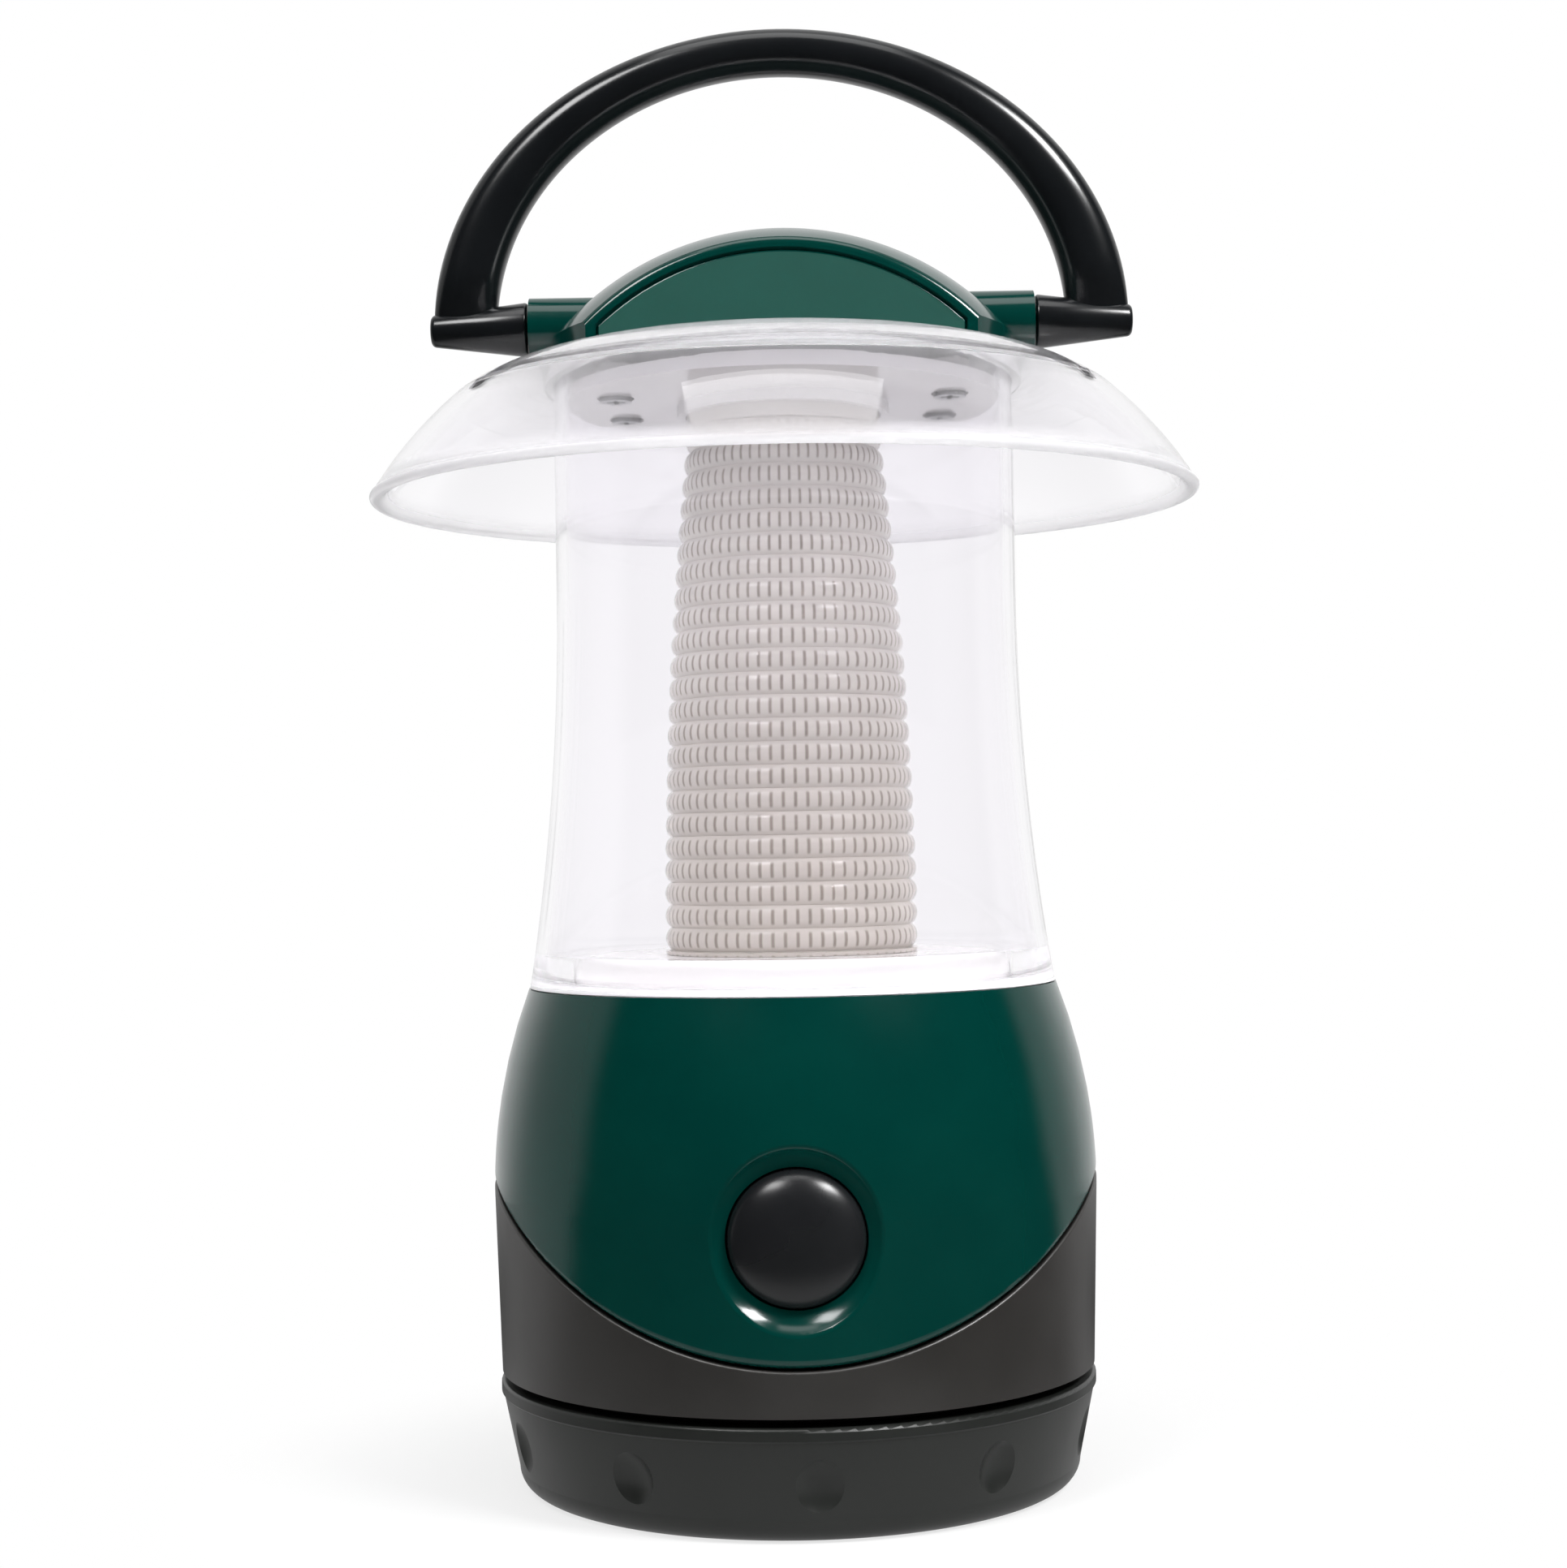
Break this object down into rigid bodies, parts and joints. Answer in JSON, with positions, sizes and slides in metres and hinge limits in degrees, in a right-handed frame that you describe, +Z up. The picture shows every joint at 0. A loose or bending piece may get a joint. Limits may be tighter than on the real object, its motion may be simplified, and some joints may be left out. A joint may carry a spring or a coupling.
{
  "type": "camping lantern",
  "caption": "Round battery lantern: clear globe with ribbed diffuser under a wide clear brim, green body with push button, twist-off battery base and swinging carry handle.",
  "frame": {"origin": "centre of the foot, on the ground", "axes": "+Z up along the lantern's axis, -Y towards the push button, X along the handle's pivot axis"},
  "size_m": [0.1378, 0.1378, 0.2425],
  "materials": {
    "green_plastic": "gloss",
    "grey_plastic": "satin",
    "base_plastic": "satin",
    "black_plastic": "gloss",
    "button_plastic": "satin",
    "clear_plastic": "clear gloss",
    "diffuser_plastic": "translucent",
    "white_plastic": "gloss",
    "inner_plastic": "matte",
    "seal_rubber": "matte",
    "spring_steel": "satin",
    "contact_steel": "nickel plated",
    "cell_can": "plain sleeve",
    "wire_cover": "insulated",
    "board": "gloss",
    "lamp_lens": "clear gloss",
    "screw_steel": "satin"
  },
  "bodies": {
    "lantern": {"battery_cell_left": "cell_can", "battery_cell_back": "cell_can", "battery_cell_right": "cell_can", "battery_tray": "inner_plastic", "tray_contacts": "contact_steel", "tray_spring": "spring_steel", "tray_screws": "screw_steel", "return_strip": "contact_steel", "lower_housing": "grey_plastic", "upper_housing": "green_plastic", "housing_screws": "screw_steel", "button_spring": "spring_steel", "switch_body": "inner_plastic", "switch_bracket": "inner_plastic", "bracket_screws": "screw_steel", "wire_battery": "wire_cover", "wire_switched": "wire_cover", "led_board": "board", "led_lamps": "lamp_lens", "board_screws": "screw_steel", "reflector_plate": "white_plastic", "reflector_screws": "screw_steel", "diffuser": "diffuser_plastic", "globe": "clear_plastic", "upper_reflector": "white_plastic", "shade": "clear_plastic", "top_cap": "green_plastic", "cap_screws": "screw_steel"},
    "handle": {"handle": "black_plastic"},
    "button": {"push_button": "button_plastic", "switch_plunger": "button_plastic"},
    "carrier": {"contact_carrier": "inner_plastic", "base_contacts": "contact_steel", "base_springs": "spring_steel"},
    "base": {"base_cap": "base_plastic", "base_seal": "seal_rubber", "carrier_screw": "screw_steel"}
  },
  "joints": [
    {"name": "handle_swing", "type": "hinge", "parent": "lantern", "child": "handle", "pos_m": [0, 0, 0.1929], "axis": [1, 0, 0], "range_deg": [-92, 92]},
    {"name": "button_press", "type": "slide", "parent": "lantern", "child": "button", "axis": [0, 1, 0], "range_m": [0, 0.0025], "stiffness_N_per_m": 1000, "springref_m": -0.001, "deforming": ["button_spring"]},
    {"name": "base_drop", "type": "slide", "parent": "lantern", "child": "carrier", "axis": [0, 0, -1], "range_m": [0, 0.005]},
    {"name": "base_turn", "type": "hinge", "parent": "carrier", "child": "base", "pos_m": [0, 0, 0], "axis": [0, 0, -1], "range_deg": [0, 60]}
  ],
  "couplings": [
    {"joint": "base_drop", "follows": "base_turn", "m_per_rad": 0.0047746}
  ]
}
